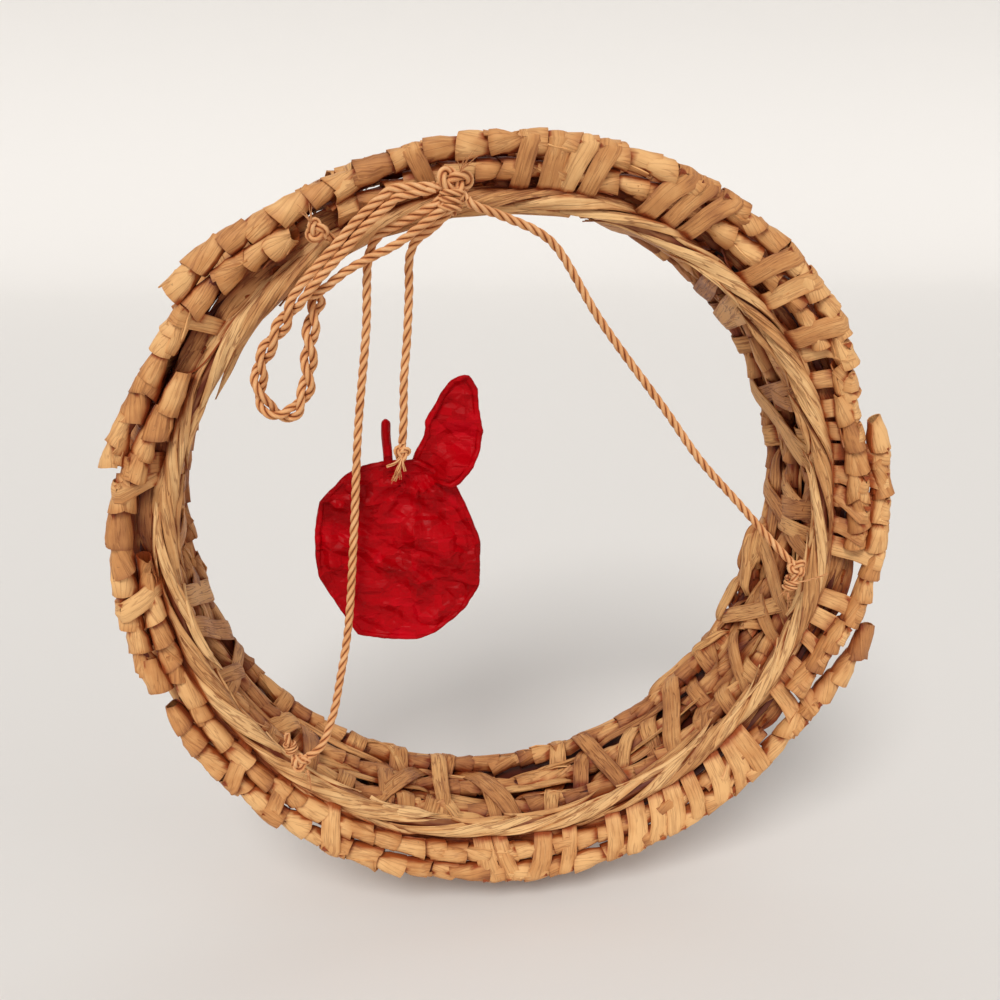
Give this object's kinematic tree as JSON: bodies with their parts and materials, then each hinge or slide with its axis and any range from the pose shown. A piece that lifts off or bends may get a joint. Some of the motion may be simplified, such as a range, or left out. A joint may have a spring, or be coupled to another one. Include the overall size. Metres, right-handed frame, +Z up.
{
  "type": "hanging wreath ornament",
  "caption": "Woven dried-leaf hoop wreath with twisted hanging cords tied to its crest and a flat crimson apple pendant in its opening.",
  "frame": {"origin": "under the inner side of the hoop's top, at its rearmost inner rod, where a nail or hook carries it", "axes": "+Z up, +Y into the wall along the hoop's axis, so the wreath faces -Y, and +X to the viewer's right"},
  "size_m": [0.3008, 0.0729, 0.3],
  "materials": {
    "leaf_wrapping": "matte dried leaf, lengthwise veins",
    "leaf_crest": "matte dried leaf, slight sheen on the folds",
    "leaf_inner": "matte dried leaf, browner in the hollow",
    "leaf_wall": "matte woven leaf",
    "twisted_cord": "matte three-ply cord, rust to golden tan",
    "apple_skin": "crumpled crimson husk with a soft gloss",
    "apple_trim": "crumpled crimson husk, darker, soft gloss"
  },
  "bodies": {
    "root": {"wrapped_rod_upper": "leaf_wrapping", "wrapped_rod_right": "leaf_wrapping", "wrapped_rod_lower": "leaf_wrapping", "wrapped_rod_upper_left": "leaf_wrapping", "wrapped_rod_left": "leaf_wrapping", "middle_rod_upper": "leaf_wrapping", "middle_rod_lower": "leaf_wrapping", "crest_twist": "leaf_crest", "inner_rod_front": "leaf_inner", "inner_rod_middle": "leaf_inner", "inner_rod_rear": "leaf_inner", "side_rod_front": "leaf_inner", "side_rod_middle": "leaf_inner", "side_rod_rear": "leaf_inner", "woven_wall": "leaf_wall", "gathering_knot": "twisted_cord", "left_tie_knot": "twisted_cord", "right_tie_knot": "twisted_cord", "top_tie_knot": "twisted_cord", "pendant_knot": "twisted_cord", "left_cord": "twisted_cord", "right_cord": "twisted_cord", "pendant_cord": "twisted_cord", "top_cord": "twisted_cord", "hanging_loop": "twisted_cord", "apple_body": "apple_skin", "apple_stem": "apple_trim", "apple_leaf": "apple_trim"}
  },
  "joints": []
}
